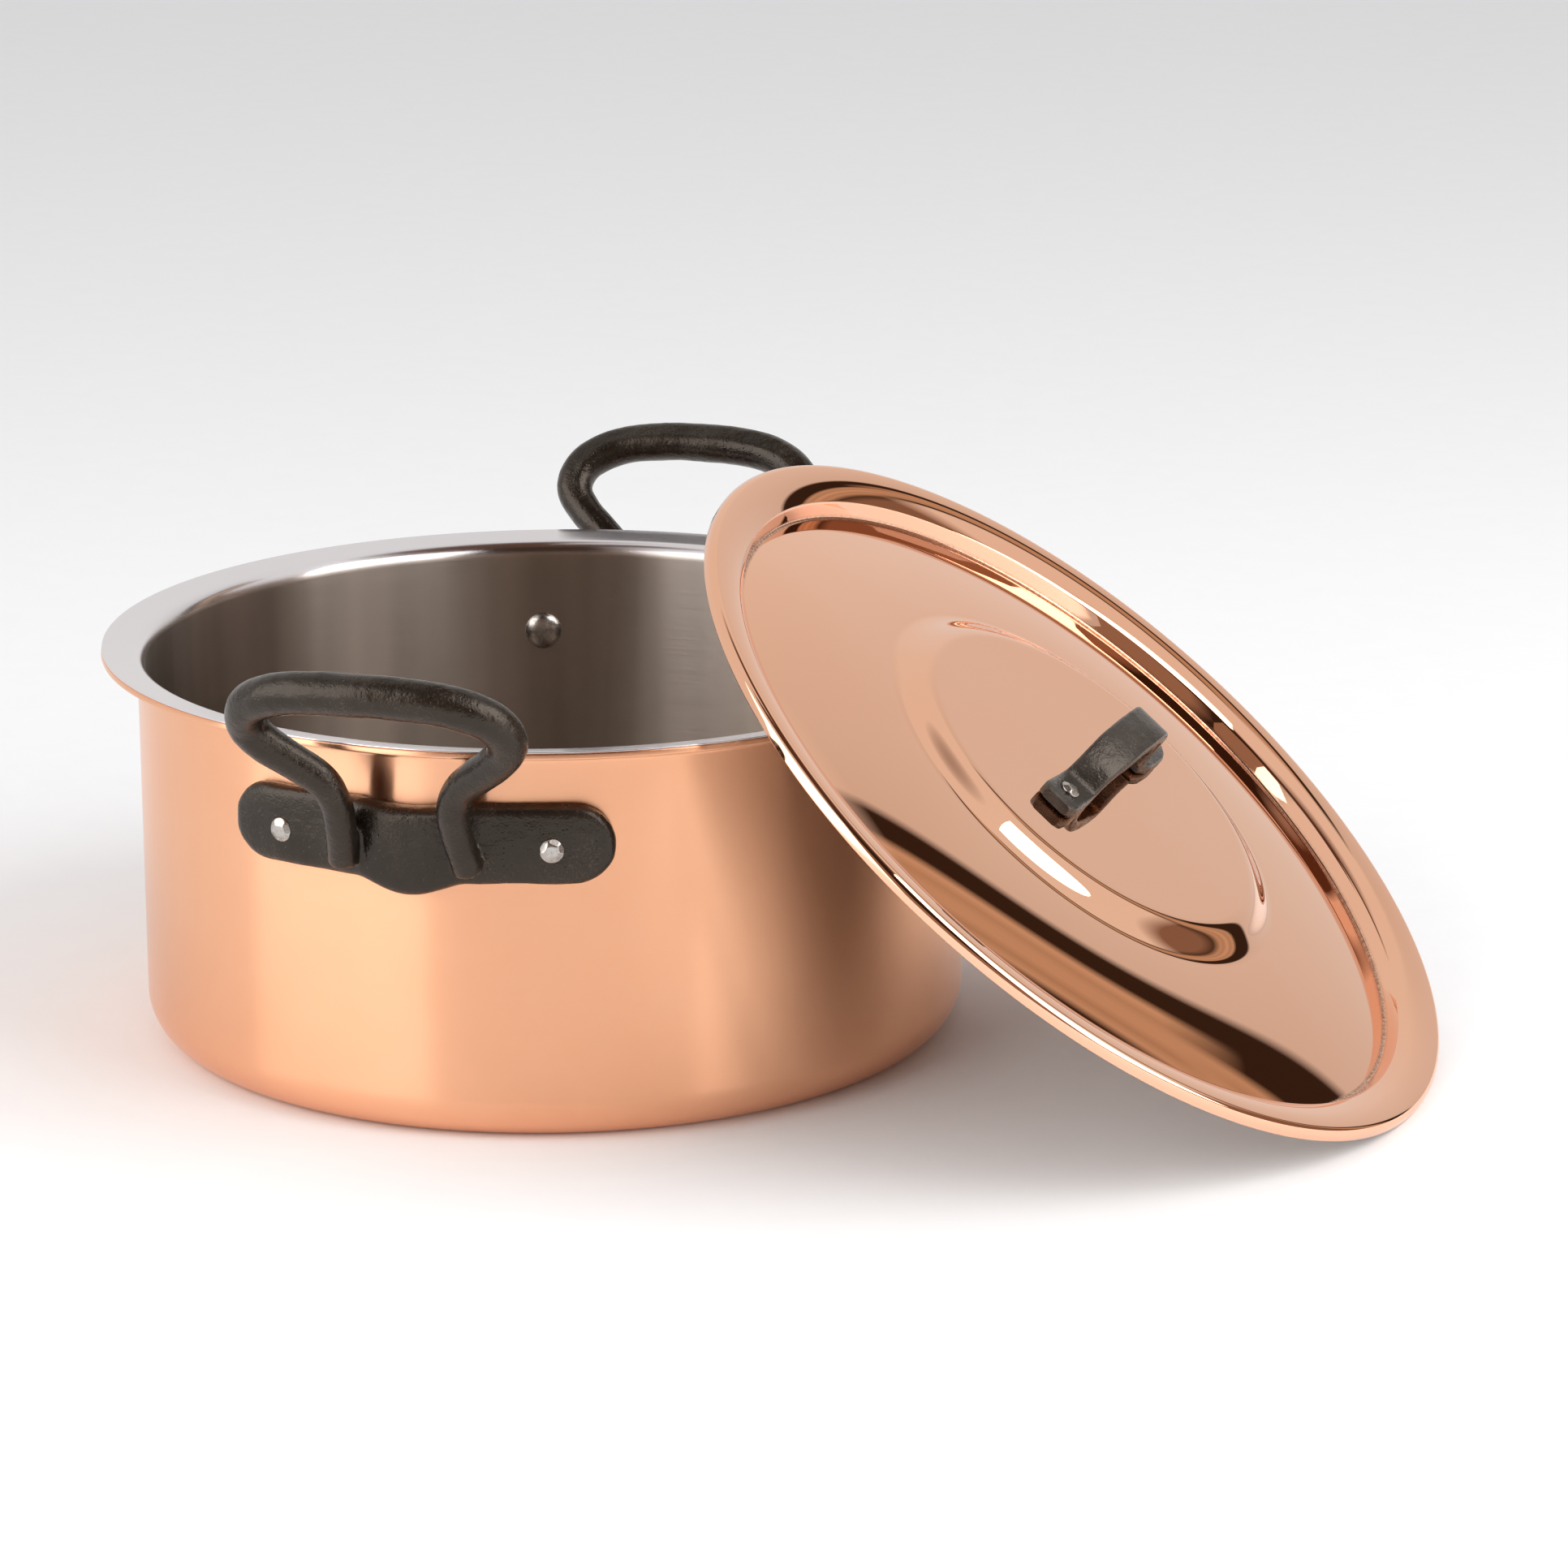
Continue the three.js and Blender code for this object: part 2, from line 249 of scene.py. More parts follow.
def apply_modifiers(obj):
    """Replaces the mesh by what its modifiers make of it, smooth all over."""
    evaluated = obj.evaluated_get(bpy.context.evaluated_depsgraph_get())
    mesh = bpy.data.meshes.new_from_object(evaluated)
    obj.modifiers.clear()
    obj.data = mesh
    mesh.polygons.foreach_set("use_smooth", [True] * len(mesh.polygons))
    return obj


# ---- node helpers -------------------------------------------------------------------------------


class Nodes:
    """Short calls for building a node tree."""

    def __init__(self, tree):
        self.tree = tree
        tree.nodes.clear()

    def add(self, kind, inputs=None, **settings):
        node = self.tree.nodes.new(kind)
        for key, value in settings.items():
            setattr(node, key, value)
        for key, value in (inputs or {}).items():
            self.put(node.inputs[key], value)
        return node

    def put(self, socket, value):
        if isinstance(value, bpy.types.NodeSocket):
            self.tree.links.new(value, socket)
        elif hasattr(value, "outputs"):
            self.tree.links.new(value.outputs[0], socket)
        else:
            socket.default_value = value

    def math(self, operation, a, b=0.0, clamp=False):
        return self.add("ShaderNodeMath", {0: a, 1: b}, operation=operation, use_clamp=clamp)

    def noise(self, vector, scale, detail=3.0, roughness=0.5):
        node = self.add(
            "ShaderNodeTexNoise",
            {"Vector": vector, "Scale": scale, "Detail": detail, "Roughness": roughness},
        )
        return node.outputs["Fac"]

    def map(self, value, low, high, to_low, to_high):
        inputs = {"Value": value, "From Min": low, "From Max": high, "To Min": to_low, "To Max": to_high}
        return self.add("ShaderNodeMapRange", inputs)

    def ramp(self, value, stops):
        node = self.add("ShaderNodeValToRGB", {"Fac": value})
        ramp = node.color_ramp
        while len(ramp.elements) < len(stops):
            ramp.elements.new(0.5)
        for element, (position, colour) in zip(ramp.elements, stops):
            element.position = position
            element.color = (*colour, 1)
        return node

    def mix(self, factor, a, b):
        node = self.add("ShaderNodeMix", data_type="RGBA")
        self.put(node.inputs[0], factor)
        self.put(node.inputs[6], a)
        self.put(node.inputs[7], b)
        return node.outputs[2]

    def bump(self, height, strength, distance):
        inputs = {"Height": height, "Strength": strength, "Distance": distance}
        return self.add("ShaderNodeBump", inputs)


def material(name):
    made = bpy.data.materials.new(name)
    made.use_nodes = True
    return made, Nodes(made.node_tree)


def shader(nodes, **inputs):
    """The Principled surface; an underscore in a name stands for a space."""
    surface = nodes.add("ShaderNodeBsdfPrincipled", {k.replace("_", " "): v for k, v in inputs.items()})
    nodes.add("ShaderNodeOutputMaterial", {"Surface": surface})


def around(nodes, frame_matrix):
    """(angle, radius, height) about an axis; frame_matrix takes the part's frame to the axis's own."""
    place_node = nodes.add("ShaderNodeTexCoord").outputs["Object"]
    rows = [tuple(row) for row in frame_matrix]
    parts = []
    for row in rows[:3]:
        dot = nodes.add("ShaderNodeVectorMath", {0: place_node, 1: row[:3]}, operation="DOT_PRODUCT")
        parts.append(nodes.math("ADD", dot.outputs["Value"], row[3]))
    x, y, z = parts
    angle = nodes.math("ARCTAN2", y, x)
    squares = nodes.math("ADD", nodes.math("MULTIPLY", x, x), nodes.math("MULTIPLY", y, y))
    radius = nodes.math("SQRT", squares)
    return angle, radius, z


def brushed(nodes, frame_matrix, fine=9000.0, along=6.0):
    """Noise drawn out around an axis: fine across the brushing, long along it."""
    angle, radius, height = around(nodes, frame_matrix)
    across = nodes.math("ADD", radius, height)
    turned, crossed = nodes.math("MULTIPLY", angle, along), nodes.math("MULTIPLY", across, fine)
    vector = nodes.add("ShaderNodeCombineXYZ", {0: turned, 1: crossed})
    return nodes.noise(vector, 1.0, 4.0, 0.6)


# ---- materials ----------------------------------------------------------------------------------


def copper_wall():
    """Satin copper, brushed around the pan."""
    made, n = material("copper_brushed")
    grain = brushed(n, Matrix.Identity(4), along=2.5)
    cloud = n.noise(n.add("ShaderNodeTexCoord").outputs["Object"], 14.0, 4.0, 0.6)
    colour = n.mix(n.map(cloud, 0.35, 0.7, 0, 1), (0.90, 0.455, 0.262, 1), (0.92, 0.49, 0.295, 1))
    colour = n.mix(n.map(grain, 0.3, 0.7, 0.0, 0.25), colour, (0.94, 0.53, 0.34, 1))
    tangent = n.add("ShaderNodeTangent", direction_type="RADIAL", axis="Z")
    shader(
        n,
        Base_Color=colour,
        Metallic=1.0,
        Roughness=n.map(grain, 0.2, 0.8, 0.22, 0.27),
        Anisotropic=0.98,
        Anisotropic_Rotation=0.25,
        Tangent=tangent,
        Normal=n.bump(grain, 0.05, 0.00001),
    )
    return made


def copper_mirror(lid_matrix):
    """Polished copper, with the faintest turning marks and a dark, rougher, broken line along the recess
    corner.
    """
    made, n = material("copper_polished")
    grain = brushed(n, lid_matrix, 5000.0, 5.0)
    cloud = n.noise(n.add("ShaderNodeTexCoord").outputs["Object"], 9.0, 3.0, 0.5)
    colour = n.mix(n.map(cloud, 0.35, 0.7, 0, 1), (0.95, 0.53, 0.35, 1), (0.96, 0.565, 0.385, 1))
    _, radius, _ = around(n, lid_matrix)
    # a dark, rougher, broken line along the recess corner
    from_recess = n.math("ABSOLUTE", n.math("SUBTRACT", radius, 0.11655))
    recess_line_breakup = n.noise(n.add("ShaderNodeTexCoord").outputs["Object"], 900.0, 4.0, 0.7)
    near, broken = n.map(from_recess, 0.0002, 0.0009, 1, 0), n.map(recess_line_breakup, 0.35, 0.6, 0.2, 1)
    line = n.math("MULTIPLY", near, broken, clamp=True)
    colour = n.mix(n.math("MULTIPLY", line, 0.75), colour, (0.16, 0.09, 0.06, 1))
    smooth = n.map(grain, 0.2, 0.8, 0.012, 0.03)
    shader(
        n,
        Base_Color=colour,
        Metallic=1.0,
        Roughness=n.math("ADD", smooth, n.math("MULTIPLY", line, 0.35)),
        Normal=n.bump(grain, 0.010, 0.00001),
    )
    return made


def steel_satin(name, frame_matrix):
    """Stainless lining, brushed around its axis and polished on the lip. Its colour holds painted
    reflection in upright stripes around the axis, and a paler lip tint that is painted sheen.
    """
    made, n = material(name)
    colour = (0.60, 0.52, 0.46)
    grain = brushed(n, frame_matrix, 7000.0, 5.0)
    cloud = n.noise(n.add("ShaderNodeTexCoord").outputs["Object"], 20.0, 4.0, 0.6)
    tint = n.mix(n.map(cloud, 0.3, 0.7, 0, 1), (*(c * 0.93 for c in colour), 1), (*colour, 1))
    tint = n.mix(n.map(grain, 0.3, 0.7, 0.0, 0.2), tint, (0.66, 0.63, 0.61, 1))
    angle, _, height = around(n, frame_matrix)
    # painted reflection: noise around the axis darkens the steel's colour in upright stripes
    turned, raised = n.math("MULTIPLY", angle, 5.0), n.math("MULTIPLY", height, 3.0)
    vector = n.add("ShaderNodeCombineXYZ", {0: turned, 1: raised})
    painted_reflection_bands = n.map(n.noise(vector, 1.0, 2.0, 0.5), 0.35, 0.65, 0, 1)
    tint = n.mix(n.math("MULTIPLY", painted_reflection_bands, 0.55), tint, (*(c * 0.45 for c in colour), 1))
    # painted sheen: the pale lavender tint on the lip; the lower roughness there is real polish
    lip = n.map(height, 0.1125, 0.1150, 0, 1)
    tint = n.mix(lip, tint, (0.83, 0.80, 0.83, 1))
    polish = n.math("MULTIPLY", lip, 0.16)
    tangent = n.add("ShaderNodeTangent", direction_type="RADIAL", axis="Z")
    shader(
        n,
        Base_Color=tint,
        Metallic=1.0,
        Roughness=n.math("SUBTRACT", n.map(grain, 0.2, 0.8, 0.26, 0.38), polish),
        Anisotropic=0.9,
        Anisotropic_Rotation=0.25,
        Tangent=tangent,
        Normal=n.bump(grain, 0.12, 0.00002),
    )
    return made


def steel_rivet():
    """Bright steel, dimpled by the hammer and a little stained in patches."""
    made, n = material("rivet_steel")
    place_node = n.add("ShaderNodeTexCoord").outputs["Object"]
    dents = n.noise(place_node, 420.0, 2.0, 0.5)
    stain = n.noise(place_node, 900.0, 4.0, 0.6)
    colour = n.mix(n.map(stain, 0.35, 0.75, 0, 0.6), (0.52, 0.49, 0.46, 1), (0.28, 0.25, 0.22, 1))
    shader(
        n,
        Base_Color=colour,
        Metallic=1.0,
        Roughness=n.map(stain, 0.3, 0.8, 0.16, 0.38),
        Normal=n.bump(dents, 0.18, 0.0003),
    )
    return made


def cast_iron(name, base=(0.006, 0.004, 0.0028), worn=(0.042, 0.031, 0.022), pits=1.0):
    """Dark casting: a soft orange-peel surface with small pits, duller in patches, and rubbed paler."""
    made, n = material(name)
    place_node = n.add("ShaderNodeTexCoord").outputs["Object"]
    peel = n.noise(place_node, 330.0, 3.0, 0.55)
    fine = n.noise(place_node, 1500.0, 3.0, 0.6)
    patch = n.noise(place_node, 60.0, 4.0, 0.6)
    cells = n.add("ShaderNodeTexVoronoi", {"Vector": place_node, "Scale": 520.0}, feature="F1")
    pit = n.map(cells.outputs["Distance"], 0.05, 0.22, 0, 1)
    edges = n.map(n.add("ShaderNodeNewGeometry").outputs["Pointiness"], 0.5, 0.56, 0, 1)
    wear = n.math("MULTIPLY", edges, n.map(patch, 0.3, 0.65, 0.15, 1), clamp=True)
    colour = n.mix(n.map(patch, 0.3, 0.7, 0, 1), (*base, 1), (*(c * 1.7 for c in base), 1))
    rubbed = n.math("MULTIPLY", n.map(fine, 0.52, 0.62, 0, 0.8), n.map(patch, 0.45, 0.62, 0, 1))
    colour = n.mix(n.math("MAXIMUM", wear, rubbed), colour, (*worn, 1))
    height = n.math("ADD", peel, n.math("MULTIPLY", fine, 0.45))
    height = n.math("ADD", height, n.math("MULTIPLY", patch, 1.6))
    height = n.math("ADD", height, n.math("MULTIPLY", pit, 0.35 * pits))
    shader(
        n,
        Base_Color=colour,
        Metallic=0.0,
        Roughness=n.math("ADD", n.map(fine, 0.3, 0.7, 0.10, 0.20), n.map(patch, 0.42, 0.66, 0, 0.14)),
        IOR=1.5,
        Specular_Tint=(1.0, 0.86, 0.74, 1),
        Normal=n.bump(height, 0.42, 0.0006),
    )
    return made


def floor_paper():
    """Plain pale paper."""
    made, n = material("paper_floor")
    fibre = n.noise(n.add("ShaderNodeTexCoord").outputs["Object"], 60.0, 4.0, 0.6)
    colour = n.mix(fibre, (0.90, 0.90, 0.90, 1), (0.93, 0.93, 0.93, 1))
    shader(n, Base_Color=colour, Roughness=0.8, Specular_IOR_Level=0.1)
    return made


# ---- pan ----------------------------------------------------------------------------------------


def pan_face(depth):
    """The pan's show face, or a face that lies depth under it, from the axis to the lip's edge."""
    corner = arc(PAN_RADIUS - PAN_CORNER, PAN_CORNER, PAN_CORNER - depth, -90, 0, 24)
    lip_angle = 90 + math.degrees(LIP_SLOPE)
    bend = arc(PAN_RADIUS + LIP_BEND, PAN_WALL_TOP, LIP_BEND + depth, 180, lip_angle, 20)
    bend_r, bend_z = bend[-1]
    tip = (bend_r + LIP_LENGTH * math.cos(LIP_SLOPE), bend_z + LIP_LENGTH * math.sin(LIP_SLOPE))
    return subdivided([(0.0, depth), *corner, *bend, tip], 3.0)


def subdivided(line, step):
    """The same line with no piece longer than step."""
    result = [line[0]]
    for start, end in zip(line, line[1:]):
        count = max(1, math.ceil(math.dist(start, end) / step))
        result.extend(
            (start[0] + (end[0] - start[0]) * i / count, start[1] + (end[1] - start[1]) * i / count)
            for i in range(1, count + 1)
        )
    return result


def sheet(name, face, lower, upper, rounding):
    """A sheet between two depths of a pressing, with its outer edge rounded."""
    low, high = face(lower), face(upper)
    a, b = Vector(low[-1]), Vector(high[-1])
    inward = (Vector(low[-2]) - a).normalized()
    across = (b - a).normalized()
    thick = (b - a).length
    edge = min(rounding, thick * 0.49)
    rim = []
    for i in range(7):
        angle = math.pi / 2 * i / 6
        rim.append(a + inward * edge * (1 - math.sin(angle)) + across * edge * (1 - math.cos(angle)))
    for i in range(7):
        angle = math.pi / 2 * i / 6
        rim.append(b + inward * edge * (1 - math.cos(angle)) - across * edge * (1 - math.sin(angle)))
    profile = [*low[:-1], *(tuple(p) for p in rim), *reversed(high[:-1])]
    return face_outward(lathe(name, profile))


# ---- side handles -------------------------------------------------------------------------------


def plate_reach(s):
    """The plate's bottom and top at a distance s along it."""
    end = (PLATE_TOP - PLATE_BOTTOM) / 2
    over = max(0.0, abs(s) - (PLATE_HALF_LENGTH - end))
    half = math.sqrt(max(0.0, end**2 - over**2))
    bottom = (PLATE_TOP + PLATE_BOTTOM) / 2 - half
    top = (PLATE_TOP + PLATE_BOTTOM) / 2 + half
    lobe = max(0.0, 1 - (abs(s) / 15.0) ** 2) ** 1.5
    bottom -= (PLATE_BOTTOM - PLATE_LOBE) * lobe
    top -= 1.2 * max(0.0, 1 - (abs(s) / 14.0) ** 2)
    return bottom, top


def plate_mesh(name):
    """The plate, wrapped around the wall and facing -Y: crowned between the legs, its edge rounded."""
    across, up, rounding = 120, 30, 2.6
    points, faces = [], []
    for i in range(across + 1):
        s = PLATE_HALF_LENGTH * math.sin(math.pi / 2 * (2 * i / across - 1)) * 0.999
        bottom, top = plate_reach(s)
        for j in range(up + 1):
            v = math.sin(math.pi / 2 * (2 * j / up - 1))
            z = (bottom + top) / 2 + (top - bottom) / 2 * v
            to_side = (top - bottom) / 2 * (1 - abs(v))
            to_end = PLATE_HALF_LENGTH - abs(s)
            inset = min(1.0, min(to_side, to_end) / rounding)
            edge = 0.38 + 0.62 * math.sqrt(max(0.0, 1 - (1 - inset) ** 2))
            crown = PLATE_THICKNESS + PLATE_CROWN * math.exp(-((s / 17.0) ** 4)) + 0.5 * (1 - v * v)
            dish = PLATE_DISH * math.exp(-(((abs(s) - 29.0) / 6.0) ** 2))
            points.append((s, z, (crown - dish) * edge))
    count = len(points)
    rows = up + 1

    def wrapped(s, z, out):
        turn = s / PAN_RADIUS
        radius = PAN_RADIUS + PLATE_GAP + out
        return (radius * math.sin(turn), -radius * math.cos(turn), z)

    outer = [wrapped(*p) for p in points]
    inner = [wrapped(s, z, 0.0) for s, z, _ in points]
    for i in range(across):
        for j in range(up):
            a, b, c, d = i * rows + j, (i + 1) * rows + j, (i + 1) * rows + j + 1, i * rows + j + 1
            faces.append((a, b, c, d))
            faces.append((count + d, count + c, count + b, count + a))
    border = [i * rows for i in range(across + 1)]
    border += [across * rows + j for j in range(1, rows)]
    border += [i * rows + up for i in range(across - 1, -1, -1)]
    border += list(range(up - 1, 0, -1))
    for a, b in zip(border, [*border[1:], border[0]]):
        faces.append((a, count + a, count + b, b))
    return face_outward(make(name, outer + inner, faces))


def grip_mesh(name):
    """The looped bar: round, thicker in the middle, with a flattened strip on top."""
    half = [Vector((x, -out, z)) for x, out, z in GRIP_PATH]
    line = catmull([Vector((-p.x, p.y, p.z)) for p in half[:-1]] + half[::-1], 12)
    middle = (len(line) - 1) / 2

    def section(i):
        share = 1 - abs(i - middle) / middle
        swell = math.sin(math.pi / 2 * share) ** 2.2
        radius = 4.5 + 1.65 * swell
        offsets = []
        for k in range(28):
            angle = 2 * math.pi * k / 28
            a, b = radius * math.cos(angle), radius * math.sin(angle)
            b = min(b, radius * (1 - 0.11 * swell))
            offsets.append((a, b))
        return offsets

    return face_outward(sweep(name, line, section, Vector((0, 0.55, 0.83))))


def handle_mesh(name, azimuth):
    """Plate and grip grown together into one casting, with soft fillets and an uneven skin."""
    plate, grip = plate_mesh(name), grip_mesh(name + "_grip")
    bpy.context.view_layer.objects.active = plate
    both = [plate, grip]
    with bpy.context.temp_override(
        active_object=plate, object=plate, selected_objects=both, selected_editable_objects=both
    ):
        bpy.ops.object.join()
    remesh = plate.modifiers.new("grow", "REMESH")
    remesh.mode = "VOXEL"
    remesh.voxel_size = CASTING_VOXEL * MM
    soften = plate.modifiers.new("soften", "SMOOTH")
    soften.factor = 0.5
    soften.iterations = 9
    apply_modifiers(plate)
    roughened(plate, ((110, 0.22), (340, 0.07)))
    return place(plate, Matrix.Rotation(math.radians(azimuth + 90), 4, "Z"))


def roughened(obj, layers):
    """Moves each point along its normal by a few layers of noise: (scale, millimetres)."""
    mesh = obj.data
    normals = [v.vector.copy() for v in mesh.vertex_normals]
    places = []
    for vertex, normal in zip(mesh.vertices, normals):
        drift = sum(noise.noise(vertex.co * scale) * size for scale, size in layers)
        places.extend(vertex.co + normal * drift * MM)
    mesh.vertices.foreach_set("co", places)
    mesh.update()
    return obj


# ---- rivets -------------------------------------------------------------------------------------


def peened(obj, top, seed, depth):
    """Hammers a few small flats into a rivet's head, which points up."""
    for k in range(7):
        turn = 2 * math.pi * (k + 0.35 * math.sin(seed + k)) / 6 if k else 0
        lean = math.radians(34 + 6 * math.sin(seed * 2 + k)) if k else math.radians(4)
        level = math.sin(lean)
        normal = Vector((math.cos(turn) * level, math.sin(turn) * level, math.cos(lean)))
        furthest = max(normal.dot(v.co) for v in obj.data.vertices if v.co.z > top * MM)
        limit = furthest - depth * MM * (1 if k else 0.6)
        for v in obj.data.vertices:
            over = normal.dot(v.co) - limit
            if over > 0 and v.co.z > top * MM:
                v.co -= normal * over
    return obj


def rivet_mesh(name, bottom, top, seed, shank, head, head_height, inner, inner_height):
    """A rivet along Z: a smooth dome under bottom, a peened head above top."""
    dome = [(inner * math.sin(a), bottom - inner_height * math.cos(a)) for a in quarter(14)]
    crown = [
        (head * math.cos(a) ** 0.8, top + head_height * (0.3 + 0.7 * math.sin(a))) for a in quarter(12)
    ]
    profile = [*dome, (inner * 0.97, bottom), (shank, bottom), (shank, top), (head * 0.97, top), *crown]
    profile[0], profile[-1] = (0.0, profile[0][1]), (0.0, profile[-1][1])
    return peened(face_outward(lathe(name, profile, 64, 50)), top, seed, 0.32)


def quarter(count):
    """Angles from 0 to a right angle."""
    return [math.pi / 2 * i / count for i in range(count + 1)]


# ---- lid ----------------------------------------------------------------------------------------


def lid_frame():
    """The lid's own frame, from the CAD: its axis is the joint's, its centre is the shell's."""
    axis = Vector(frame["joints"][0]["axis"]).normalized()
    level = Vector((axis.x, axis.y, 0)).normalized()
    down = level * axis.z - Vector((0, 0, 1)) * Vector((axis.x, axis.y)).length
    side = axis.cross(down)
    shell = [v.co for v in frame["nodes"]["lid_copper_shell"].data.vertices]

    def middle(direction):
        reach = [direction.dot(p) for p in shell]
        return (min(reach) + max(reach)) / 2

    top = max(axis.dot(p) for p in shell) - LID_BOSS_HEIGHT * MM
    centre = down * middle(down) + side * middle(side) + axis * top
    turn = Matrix((down, side, axis)).transposed().to_4x4()
    return Matrix.Translation(centre) @ turn


def lid_line():
    """The lid's show face from the axis to the edge, as (r, z) points."""
    line = [
        (r, LID_BOSS_HEIGHT + LID_BOSS_DOME * (1 - (r / LID_BOSS_RADIUS) ** 2), 0)
        for r in range(0, int(LID_BOSS_RADIUS) + 1, 2)
    ]
    step_width = LID_FOOT_RADIUS - LID_BOSS_RADIUS
    step_height = LID_BOSS_HEIGHT - LID_FOOT_HEIGHT
    for i in range(1, 29):
        u = i / 28
        fall = step_height * u * u * (3 - 2 * u)
        line.append((LID_BOSS_RADIUS + step_width * u, LID_BOSS_HEIGHT - fall, 0))
    across = LID_RECESS_RADIUS - LID_FOOT_RADIUS
    for i in range(1, 33):
        x = across * i / 32
        fillet = LID_RECESS_FILLET if i == 32 else 0
        line.append((LID_FOOT_RADIUS + x, LID_FOOT_HEIGHT - 0.06 * x - 0.10 * x * x / across, fillet))
    crown_centre = LID_CREST_HEIGHT - LID_CROWN_RADIUS
    crown = arc(LID_CREST_RADIUS, crown_centre, LID_CROWN_RADIUS, 90 + LID_CROWN_ANGLE, 90, 20)
    line.append((*crown[0], LID_RISER_FILLET))
    roll = arc(LID_CREST_RADIUS, LID_CREST_HEIGHT - LID_ROLL_RADIUS, LID_ROLL_RADIUS, 90, 0, 14)
    line.extend((r, z, 0) for r, z in [*crown[1:], *roll[1:], (LID_EDGE_RADIUS, LID_EDGE_HEIGHT)])
    return filleted(line, straight_step=2.5)


def below(line, depth):
    """A line that lies depth under another, which runs outward."""
    result = []
    for i, (r, z) in enumerate(line):
        before, after = line[max(i - 1, 0)], line[min(i + 1, len(line) - 1)]
        along = Vector((after[0] - before[0], after[1] - before[1])).normalized()
        result.append((max(0.0, r + along.y * depth), z - along.x * depth))
    result[0] = (0.0, result[0][1])
    result[-1] = (result[-1][0], line[-1][1])
    return result


def lid_face(depth):
    """The lid's show face, or a face that lies depth under it."""
    return below(lid_line(), depth)


def strap_outline(along):
    """Half the strap's width at a distance along it."""
    if along > 27:
        return 8.0 * math.sqrt(max(0.02, 1 - max(0.0, (along - 34.5) / 8.6) ** 2))
    if along > 20:
        return 6.0 + 2.0 * (0.5 - 0.5 * math.cos(math.pi * (along - 20) / 7))
    waist = 0.6 * math.exp(-(((along + 16) / 6.0) ** 2))
    end = max(0.0, (-34.5 - along) / 3.2)
    return (6.1 - waist) * math.sqrt(max(0.05, 1 - 0.55 * end**2))


def strap_mesh(name):
    """The lid's strap: flat bar, bent up from two riveted feet, with softened edges."""
    under = catmull([Vector((x, 0, z)) for x, z in STRAP_PATH], 10)
    middle = [p.copy() for p in under]
    for i, p in enumerate(under):
        along = (under[min(i + 1, len(under) - 1)] - under[max(i - 1, 0)]).normalized()
        middle[i] = p + Vector((-along.z, 0, along.x)) * STRAP_THICKNESS / 2

    def section(i):
        half, thick, edge = strap_outline(middle[i].x), STRAP_THICKNESS / 2, 1.1
        if i in (0, len(middle) - 1):
            thick *= 0.72
        offsets = []
        for corner, (a, b) in enumerate(((1, 1), (-1, 1), (-1, -1), (1, -1))):
            for k in range(5):
                angle = math.pi / 2 * (corner + k / 4)
                sideways = a * (half - edge) + edge * math.cos(angle)
                offsets.append((sideways, b * (thick - edge) + edge * math.sin(angle)))
        return offsets

    obj = face_outward(sweep(name, middle, section, Vector((0, 0, 1))))
    return roughened(obj, ((260, 0.12),))


def strap_frame(along=0.0):
    """From the strap's own frame (along X, up Z) to the lid's frame."""
    return (
        Matrix.Translation((0, 0, LID_BOSS_HEIGHT * MM))
        @ Matrix.Rotation(math.radians(90 + STRAP_TURN), 4, "Z")
        @ Matrix.Translation((along * MM, STRAP_ASIDE * MM, 0))
    )


# ---- studio -------------------------------------------------------------------------------------


def make_camera():
    data = bpy.data.cameras.new("camera")
    data.sensor_width = 36
    data.lens = 136.33
    camera = bpy.data.objects.new("camera", data)
    bpy.context.scene.collection.objects.link(camera)
    camera.location = (0.50718, -1.62837, 0.55509)
    aim = Vector((0.06443, 0.02564, 0.06865))
    look = (aim - camera.location).to_track_quat("-Z", "Y")
    camera.rotation_mode = "QUATERNION"
    camera.rotation_quaternion = look @ Matrix.Rotation(math.radians(-0.275), 3, "Z").to_quaternion()
    bpy.context.scene.camera = camera


def softbox(name, bearing, elevation, distance, size, watts):
    """A rectangular light that faces the pan; its bearing is counted to the right from the camera."""
    data = bpy.data.lights.new(name, "AREA")
    data.shape = "RECTANGLE"
    data.size, data.size_y = size
    data.energy = watts
    light = bpy.data.objects.new(name, data)
    bpy.context.scene.collection.objects.link(light)
    turn = math.radians(bearing + CAMERA_BEARING)
    rise = math.radians(elevation)
    aim = Vector((0.05, 0, 0.08))
    light.location = aim + distance * Vector(
        (math.sin(turn) * math.cos(rise), -math.cos(turn) * math.cos(rise), math.sin(rise))
    )
    light.rotation_euler = (aim - light.location).to_track_quat("-Z", "Y").to_euler()


